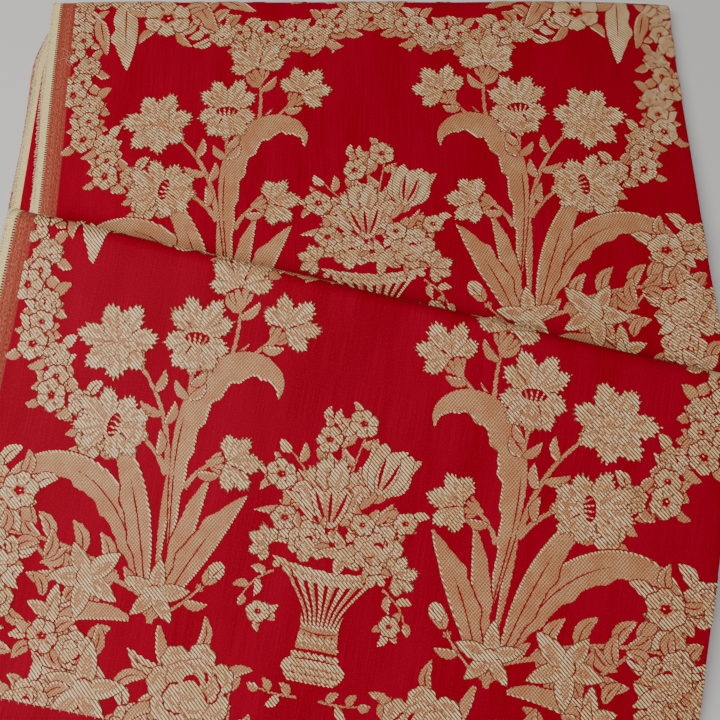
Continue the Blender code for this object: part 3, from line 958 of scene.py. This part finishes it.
def figure(name, shapes, w_range, s_range, pitch, depth, materials, height=0.28, most=0.07):
    """Cut the figure out of one stretch of the flat cloth and lay it on the face, a little raised."""
    w0, w1 = w_range
    s0, s1 = s_range
    box = (w0, w1, s0, s1)
    kept = []
    for k in range(-2, 3):
        for side in (0, 1):
            for tone, p in shapes:
                x = p[:, 0] if side == 0 else 2 * MIRROR - p[:, 0]
                s = REPEAT * k - p[:, 1]
                if side == 1 and x.min() < MIRROR - 6:
                    continue
                if x.max() < w0 or x.min() > w1 or s.max() < s0 or s.min() > s1:
                    continue
                r = rugged(np.stack([x, -s], 1), pitch, depth if tone else depth * 0.55)
                if r is None:
                    continue
                kept.append((tone, np.stack([r[:, 0], -r[:, 1]], 1)))
    frame_line = np.array([(w0, s0), (w1, s0), (w1, s1), (w0, s1)])
    P, F = triangulated([(p, True) for tone, p in kept] + [(frame_line, True)])
    chains = [(plainer(P[run], most), False) for run in borders(P, F, toned(P, F, kept, box))]
    chains.append((frame_line, True))
    last = None
    for s_mid, angle in lines_along():
        if last is not None and s_mid - last > 5.0:  # every second line where the cloth is flat
            last = None
            continue
        last = s_mid
        w = np.linspace(w0 - 1, w1 + 1, 9)
        u, off, a = section(w)
        s = s_mid - (u + slip_at(np.array([s_mid]))[0]) * tan(radians(angle))
        if s.max() > s0 and s.min() < s1:
            chains.append((np.stack([w, s], 1), False))
    for k, w in enumerate(columns()):
        if w0 < w < w1 and (k % 2 == 0 or w > RIGHT_FOLD - SOFT_START):
            chains.append((np.array([(w, s0 - 1), (w, s1 + 1)]), False))
    P, F = triangulated(chains)
    tones = toned(P, F, kept, box)
    F, tones = F[tones > 0], tones[tones > 0]
    # drop slivers
    A = P[F]
    area = 0.5 * ((A[:, 1, 0] - A[:, 0, 0]) * (A[:, 2, 1] - A[:, 0, 1]) - (A[:, 2, 0] - A[:, 0, 0]) * (A[:, 1, 1] - A[:, 0, 1]))
    F[area < 0] = F[area < 0][:, ::-1]
    keep = np.abs(area) > 1e-5
    F, tones = F[keep], tones[keep]
    used, inverse = np.unique(F, return_inverse=True)
    P, F = P[used], inverse.reshape(-1, 3)
    # the outer edge of the figure
    E = np.concatenate([F[:, (0, 1)], F[:, (1, 2)], F[:, (2, 0)]])
    lo, hi = E.min(1), E.max(1)
    key = lo.astype(np.int64) * len(P) + hi
    uniq, first, count = np.unique(key, return_index=True, return_counts=True)
    rim = E[first[count == 1]]
    on_rim = np.zeros(len(P), bool)
    on_rim[rim.ravel()] = True
    lift = np.where(on_rim, height, height * 1.5)
    top = lay(P[:, 0], P[:, 1], lift)
    rim_verts = np.unique(rim)
    low_index = np.full(len(P), -1, np.int64)
    low_index[rim_verts] = len(P) + np.arange(len(rim_verts))
    low = lay(P[rim_verts, 0], P[rim_verts, 1], np.full(len(rim_verts), -0.12))
    verts = np.vstack([top, low])
    # faces run a to b to c anticlockwise in (w, s); the face of the cloth is on the side of -(w x s)
    faces = [(int(a), int(c), int(b)) for a, b, c in F]
    # the dark rings round petals take slot 3: binding threads and a painted shadow line
    slots = [{MATT: 0, TWILL: 1, BIND_AND_SHADOW: 3}[int(t)] for t in tones]
    # the sides of the raised figure take slot 2, coloured dark as a painted shadow line
    for a, b in rim:
        faces.append((int(a), int(b), int(low_index[b]), int(low_index[a])))
        slots.append(2)
    uvs = np.vstack([P, P[rim_verts]]) / 1000.0
    print(name, "triangles", len(F) + 2 * len(rim))
    return new_object(name, verts, faces, uvs, materials, slots, False)


# ---------------------------------------------------------------------------------------------------------------- materials
def srgb(r, g, b):
    def lin(c):
        c /= 255.0
        return c / 12.92 if c <= 0.04045 else ((c + 0.055) / 1.055) ** 2.4

    return (lin(r), lin(g), lin(b), 1.0)


class Nodes:
    """A short way to write a material's nodes."""

    def __init__(self, name, roughness):
        self.material = bpy.data.materials.new(name)
        self.material.use_nodes = True
        self.tree = self.material.node_tree
        self.shader = self.tree.nodes["Principled BSDF"]
        self.shader.inputs["Roughness"].default_value = roughness
        uv = self.tree.nodes.new("ShaderNodeUVMap")
        uv.uv_map = "cloth"
        split = self.tree.nodes.new("ShaderNodeSeparateXYZ")
        self.link(uv.outputs[0], split.inputs[0])
        self.w = self.math("MULTIPLY", split.outputs[0], 1000.0)
        self.s = self.math("MULTIPLY", split.outputs[1], 1000.0)

    def link(self, a, b):
        self.tree.links.new(a, b)

    def put(self, socket, value):
        if hasattr(value, "links"):
            self.link(value, socket)
        else:
            socket.default_value = value

    def math(self, kind, a, b=0.0, c=0.0, clamp=False):
        node = self.tree.nodes.new("ShaderNodeMath")
        node.operation = kind
        node.use_clamp = clamp
        for socket, value in zip(node.inputs, (a, b, c)):
            self.put(socket, value)
        return node.outputs[0]

    def vector(self, x, y, z=0.0):
        node = self.tree.nodes.new("ShaderNodeCombineXYZ")
        for socket, value in zip(node.inputs, (x, y, z)):
            self.put(socket, value)
        return node.outputs[0]

    def noise(self, along_w, along_s, detail=2.0, shift=0.0, skew=0.0):
        """Noise that changes along_w times a millimetre across the cloth and along_s times along it."""
        node = self.tree.nodes.new("ShaderNodeTexNoise")
        x = self.math("MULTIPLY_ADD", self.w, along_w, shift)
        if skew:
            x = self.math("MULTIPLY_ADD", self.s, skew, x)
        self.link(self.vector(x, self.math("MULTIPLY", self.s, along_s)), node.inputs["Vector"])
        node.inputs["Scale"].default_value = 1.0
        node.inputs["Detail"].default_value = detail
        return node.outputs["Fac"]

    def mix(self, fac, a, b):
        node = self.tree.nodes.new("ShaderNodeMix")
        node.data_type = "RGBA"
        self.put(node.inputs[0], fac)
        self.put(node.inputs[6], a)
        self.put(node.inputs[7], b)
        return node.outputs[2]

    def step(self, value, low, high):
        """0 below low, 1 above high, smooth between."""
        node = self.tree.nodes.new("ShaderNodeMapRange")
        node.interpolation_type = "SMOOTHSTEP"
        self.put(node.inputs["Value"], value)
        node.inputs["From Min"].default_value = low
        node.inputs["From Max"].default_value = high
        return node.outputs["Result"]

    def wave(self, across_w, across_s, shift=0.0):
        """A sine from 0 to 1, with so many turns a millimetre across and along the cloth."""
        x = self.math("MULTIPLY", self.w, 2 * pi * across_w)
        x = self.math("MULTIPLY_ADD", self.s, 2 * pi * across_s, x)
        if hasattr(shift, "links") or shift:
            x = self.math("ADD", x, shift)
        return self.math("MULTIPLY_ADD", self.math("SINE", x), 0.5, 0.5)

    def bump(self, height, distance, strength=1.0):
        node = self.tree.nodes.new("ShaderNodeBump")
        node.inputs["Strength"].default_value = strength
        node.inputs["Distance"].default_value = distance
        self.link(height, node.inputs["Height"])
        self.link(node.outputs[0], self.shader.inputs["Normal"])

    def colour(self, value):
        self.put(self.shader.inputs["Base Color"], value)

    def set(self, **values):
        for name, value in values.items():
            self.shader.inputs[name.replace("_", " ")].default_value = value
        return self.material


def red_cloth():
    """Red warp satin, with the woven selvedge at its left edge and the duller reverse."""
    n = Nodes("red_satin", 0.5)
    warp = n.noise(2.6, 0.035, 1.0)
    broad = n.noise(0.06, 0.012, 2.0, 7.0)
    fine = n.noise(1.4, 1.4, 2.0, 3.0)
    ribs = n.wave(0.0, 1.25)
    tone = n.math("ADD", n.math("MULTIPLY", warp, 0.55), n.math("MULTIPLY", broad, 0.45))
    red = n.mix(n.step(tone, 0.32, 0.68), srgb(148, 0, 27), srgb(164, 4, 38))
    red = n.mix(n.math("MULTIPLY", n.step(fine, 0.48, 0.76), 0.4), red, srgb(190, 22, 52))
    # the band beside the selvedge: red and tan ends mixed, in faint stripes
    mottle = n.noise(1.7, 0.7, 2.0, 11.0)
    stripe = n.step(n.noise(0.9, 0.004, 2.0, 61.0), 0.4, 0.62)
    inner = n.step(n.w, -181.0, -176.0)
    band = n.mix(n.step(mottle, 0.3, 0.7), srgb(146, 50, 42), srgb(196, 116, 88))
    band = n.mix(n.math("MULTIPLY", stripe, 0.45), band, srgb(140, 40, 38))
    band = n.mix(n.math("MULTIPLY", inner, 0.35), band, srgb(140, 30, 34))
    beside = n.math("MULTIPLY", n.step(n.w, -184.3, -184.0), n.math("SUBTRACT", 1.0, n.step(n.w, -175.2, -174.4)))
    colour = n.mix(beside, red, band)
    # a row of dark dots, then the cream edge
    dots = n.wave(0.0, 1 / 1.4)
    dot_row = n.math("SUBTRACT", 1.0, n.step(n.w, -184.3, -184.0))
    colour = n.mix(dot_row, colour, n.mix(n.step(dots, 0.35, 0.6), srgb(226, 190, 140), srgb(58, 14, 14)))
    cream = n.math("SUBTRACT", 1.0, n.step(n.w, -185.5, -185.2))
    edge = n.mix(n.step(n.noise(1.5, 1.2, 3.0, 21.0), 0.35, 0.7), srgb(222, 190, 118), srgb(255, 240, 186))
    colour = n.mix(cream, colour, edge)
    # the other selvedge
    far = n.step(n.w, WIDTH_END - 5.2, WIDTH_END - 4.8)
    colour = n.mix(far, colour, edge)
    # the reverse: red with the loose ends of the figure's threads
    back = n.step(n.s, 1400.0, 1500.0)
    reverse = n.mix(n.step(n.noise(0.35, 0.35, 3.0, 31.0), 0.42, 0.6), srgb(140, 24, 34), srgb(188, 128, 98))
    colour = n.mix(n.math("MULTIPLY", back, 0.8), colour, reverse)
    n.colour(colour)
    height = n.math("ADD", n.math("MULTIPLY", warp, 0.6), n.math("MULTIPLY", ribs, 0.25))
    height = n.math("ADD", height, n.math("MULTIPLY", fine, 0.35))
    n.bump(height, 0.00025, 0.5)
    return n.set(Specular_IOR_Level=0.03)


def cream_twill():
    """Cream floats in slanting lines, with the dark binding between them."""
    n = Nodes("cream_twill", 0.42)
    a = radians(TWILL_ANGLE)
    wobble = n.math("MULTIPLY", n.math("SUBTRACT", n.noise(0.5, 0.5, 2.0, 5.0), 0.5), 1.6)
    lines = n.wave(sin(a) / TWILL_PITCH, -cos(a) / TWILL_PITCH, wobble)
    ends = n.noise(1.1, 0.8, 2.0, 2.0)
    over = n.step(n.math("ADD", n.math("MULTIPLY", lines, 0.85), n.math("MULTIPLY", ends, 0.35)), 0.36, 0.64)
    patch = n.noise(0.10, 0.08, 2.0, 15.0)
    fold = n.step(n.noise(0.34, 0.34, 2.0, 51.0), 0.50, 0.62)
    cream = n.mix(n.step(patch, 0.35, 0.65), srgb(236, 204, 144), srgb(255, 236, 184))
    cream = n.mix(n.math("MULTIPLY", fold, 0.4), cream, srgb(212, 162, 112))
    gap = n.mix(n.step(n.noise(0.7, 0.7, 1.0, 9.0), 0.4, 0.62), srgb(112, 40, 28), srgb(156, 78, 50))
    n.colour(n.mix(over, gap, cream))
    n.bump(n.math("SUBTRACT", over, n.math("MULTIPLY", fold, 0.3)), 0.0003, 0.6)
    return n.set(Specular_IOR_Level=0.5, Specular_Tint=(1.0, 0.88, 0.62, 1.0))


def tan_weave():
    """The flat tan weave inside the leaves and petals."""
    n = Nodes("tan_weave", 0.48)
    a = radians(TWILL_ANGLE)
    lines = n.wave(sin(a) / 1.1, -cos(a) / 1.1)
    cross = n.wave(0.66, 0.42)
    speck = n.noise(1.8, 1.5, 2.0, 4.0)
    over = n.step(n.math("ADD", n.math("MULTIPLY", n.math("MULTIPLY", lines, cross), 0.6), n.math("MULTIPLY", speck, 0.7)), 0.28, 0.68)
    patch = n.noise(0.11, 0.09, 2.0, 35.0)
    pale = n.mix(n.step(patch, 0.35, 0.65), srgb(204, 152, 100), srgb(220, 182, 128))
    n.colour(n.mix(over, srgb(156, 76, 54), pale))
    n.bump(over, 0.0002, 0.5)
    return n.set(Specular_IOR_Level=0.5, Specular_Tint=(1.0, 0.88, 0.62, 1.0))


def binding_and_shadow():
    """The fine dark threads that bind the cream floats down along their edges; their dark end is also a painted shadow
    line round the petals.
    """
    n = Nodes("binding_threads_and_painted_shadow", 0.75)
    # dark red-brown to pinkish: the binding threads, with painted shadow in the dark end
    n.colour(n.mix(n.step(n.noise(1.7, 1.7, 1.0, 18.0), 0.35, 0.65), srgb(112, 34, 28), srgb(168, 92, 62)))
    return n.set(Specular_IOR_Level=0.2)


def rim_threads_and_shade():
    """The cut side of the raised figure, where its threads go down into the red, coloured darker as a painted shadow
    line along its edge.
    """
    n = Nodes("figure_rim_and_painted_shade", 0.7)
    # very dark red to tan: the threads going into the red, darkened as a painted shadow line on the figure's side
    n.colour(n.mix(n.step(n.noise(1.6, 1.6, 1.0, 8.0), 0.35, 0.65), srgb(84, 10, 16), srgb(150, 78, 52)))
    return n.set(Specular_IOR_Level=0.3)


def yarn(name, dark, pale, roughness=0.7):
    n = Nodes(name, roughness)
    n.colour(n.mix(n.step(n.noise(2.0, 2.0, 2.0, 6.0), 0.35, 0.65), dark, pale))
    n.bump(n.wave(3.0, 3.0), 0.0001, 0.4)
    return n.set(Sheen_Weight=0.2)


# ------------------------------------------------------------------------------------------------------------- small pieces
def threads(name, runs, material, sides_count=5):
    """Round threads as one mesh: runs are (points in metres, radii)."""
    verts, faces, uvs = [], [], []
    for points, radii in runs:
        p = np.asarray(points, float)
        d = np.gradient(p, axis=0)
        d /= np.maximum(np.linalg.norm(d, axis=1), 1e-12)[:, None]
        ref = np.array((0.0, 0.0, 1.0)) if abs(d[0, 2]) < 0.8 else np.array((1.0, 0.0, 0.0))
        start = len(verts)
        for i in range(len(p)):
            x = np.cross(d[i], ref)
            x /= max(np.linalg.norm(x), 1e-12)
            y = np.cross(d[i], x)
            for k in range(sides_count):
                a = 2 * pi * k / sides_count
                verts.append(p[i] + radii[i] * (cos(a) * x + sin(a) * y))
                uvs.append((k * 0.001 + 0.3, i * 0.001 + noise(start) * 0.2))
        for i in range(len(p) - 1):
            for k in range(sides_count):
                a, b = start + i * sides_count + k, start + i * sides_count + (k + 1) % sides_count
                faces.append((a, b, b + sides_count, a + sides_count))
        faces.append(tuple(start + k for k in range(sides_count))[::-1])
        last = start + (len(p) - 1) * sides_count
        faces.append(tuple(last + k for k in range(sides_count)))
    return new_object(name, verts, faces, uvs, [material])


def selvedge_loops(material):
    """The short weft loops that stand out along both long edges of the cloth."""
    runs = []
    for end, out in ((LEFT_EDGE, -1), (WIDTH_END, 1)):
        s = INNER_END + 1.0
        k = 0
        while s < HEM_END - 1.0:
            e = end + (edge_wave(s, 0) if out < 0 else -edge_wave(s, 5))
            reach = 0.5 + 1.1 * noise(s, out)
            lean = 1.6 * (noise(s, out, 3) - 0.5)
            w = np.array([e + out * -1.2, e + out * 0.1, e + out * reach * 0.6, e + out * reach])
            ss = np.array([s, s, s + lean * 0.5, s + lean])
            up = np.array([0.15, 0.1, -0.2, -0.5]) + 0.5 * (noise(s, out, 5) - 0.5)
            u, off, a = section(w)
            pts = place(u, ss, off + (THICK / 2 + up) * np.cos(a))
            pts[:, 2] = np.maximum(pts[:, 2], 0.0)
            runs.append((pts, [0.00028, 0.00026, 0.00022, 0.00010]))
            s += 0.9 + 0.5 * noise(s, out, 9)
            k += 1
    return threads("selvedge_loops", runs, material, 4)


def hem_stitches(material):
    """Short hand stitches that catch the turned hem, on the face of the cloth."""
    runs = []
    w = LEFT_EDGE + 4.0
    while w < RIGHT_FOLD - 3.0:
        s = HEM_END - HEM_WIDTH - 2.2 + 0.5 * (noise(w) - 0.5)
        ws = np.array([w - 0.35, w - 0.2, w, w + 0.2, w + 0.35])
        ss = s + np.array([-1.1, -0.8, 0.0, 0.8, 1.1])
        pts = lay(ws, ss, np.array([-0.2, 0.16, 0.3, 0.16, -0.2]))
        runs.append((pts, [0.0002, 0.00026, 0.0003, 0.00026, 0.0002]))
        w += 3.8 + 0.7 * noise(w, 4)
    return threads("hem_stitches", runs, material, 6)


def loose_threads(material):
    """A few loose ends lying on the cloth beside the selvedge."""
    runs = []
    for w0, s0, moves in (
        (-181.0, -66.0, ((0, 0), (3.0, 1.5), (5.5, 4.5), (4.0, 8.0), (6.5, 11.0))),
        (-178.5, -63.0, ((0, 0), (2.0, 3.0), (1.0, 6.5), (3.5, 9.5))),
        (-183.0, -58.0, ((0, 0), (4.0, -1.0), (7.5, 1.0), (9.5, 4.0))),
    ):
        line, at = curve([(w0 + a, s0 + b) for a, b in moves], 0.5)
        t = at / at[-1]
        pts = lay(line[:, 0], line[:, 1], 0.25 + 0.5 * np.sin(pi * t) ** 2)
        runs.append((pts, np.full(len(line), 0.00014)))
    return threads("loose_ends", runs, material, 5)


# ------------------------------------------------------------------------------------------------------------------ assembly
# the rim and binding materials are dark partly as a painted shadow line round the figure
red, figure_materials = red_cloth(), [tan_weave(), cream_twill(), rim_threads_and_shade(), binding_and_shadow()]
cream_yarn = yarn("selvedge_yarn", srgb(216, 190, 140), srgb(252, 242, 212))
pink_yarn = yarn("stitch_yarn", srgb(206, 110, 110), srgb(244, 186, 170))

cloth = ground([red])
shapes = tile()
step = 0.75
pieces = [
    figure("figure_upper", shapes, (-175.6, 186.0), (-104.0, 118.0), step, 0.2, figure_materials),
    figure("figure_tuck", shapes, (-175.6, 186.0), (118.0, 262.0), 1.2, 0.2, figure_materials),
    figure("figure_flap", shapes, (-175.6, 186.0), (262.0, 490.0), step, 0.2, figure_materials),
    figure("figure_under", shapes, (-175.6, 186.0), (-380.0, -104.0), 1.3, 0.2, figure_materials),
]
pieces += [selvedge_loops(cream_yarn), hem_stitches(pink_yarn), loose_threads(pink_yarn)]
for piece in [cloth] + pieces:
    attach(piece, "root")
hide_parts("brocade_cloth")

# --------------------------------------------------------------------------------------------------- floor, light and camera
FLOOR = -0.0005  # the raised figure of the underside stands on it
floor_data = bpy.data.meshes.new("floor")
floor_data.from_pydata([(-3, -3, FLOOR), (3, -3, FLOOR), (3, 3, FLOOR), (-3, 3, FLOOR)], [], [(0, 1, 2, 3)])
floor = bpy.data.objects.new("floor", floor_data)
bpy.context.scene.collection.objects.link(floor)
floor_material = bpy.data.materials.new("pale_floor")
floor_material.use_nodes = True
floor_material.node_tree.nodes["Principled BSDF"].inputs["Base Color"].default_value = (0.72, 0.71, 0.69, 1)
floor_material.node_tree.nodes["Principled BSDF"].inputs["Roughness"].default_value = 0.8
floor_data.materials.append(floor_material)

world = bpy.data.worlds.new("soft_room")
world.use_nodes = True
world.node_tree.nodes["Background"].inputs[0].default_value = (1.0, 0.98, 0.96, 1)
world.node_tree.nodes["Background"].inputs[1].default_value = 0.2
bpy.context.scene.world = world


def area_light(name, where, toward, size, power, colour=(1, 1, 1)):
    data = bpy.data.lights.new(name, "AREA")
    data.shape = "SQUARE"
    data.size = size
    data.energy = power
    data.color = colour
    made = bpy.data.objects.new(name, data)
    made.location = where
    made.rotation_euler = (Vector(toward) - Vector(where)).to_track_quat("-Z", "Y").to_euler()
    bpy.context.scene.collection.objects.link(made)


area_light("window", (-0.6, -0.15, 0.9), (-0.02, 0.0, 0), 0.55, 9.2)
area_light("room", (0.1, -0.1, 1.4), (0, 0.05, 0), 1.2, 4.5)

right = Vector((0.99987, -0.0071, -0.0121))
down = Vector((-0.0097, -0.9736, -0.2282))
view = Vector((-0.0102, 0.2282, -0.9735)).normalized()
up = (-down - (-down).dot(view) * view).normalized()
right = view.cross(up).normalized()
camera_data = bpy.data.cameras.new("camera")
camera_data.lens = 30.9
camera_data.sensor_width = 36.0
camera_data.clip_start = 0.01
camera = bpy.data.objects.new("camera", camera_data)
turn = Matrix((right, up, -view)).transposed().to_4x4()
camera.matrix_world = Matrix.Translation((0.0208, -0.0695, 0.3204)) @ turn
bpy.context.scene.collection.objects.link(camera)
bpy.context.scene.camera = camera
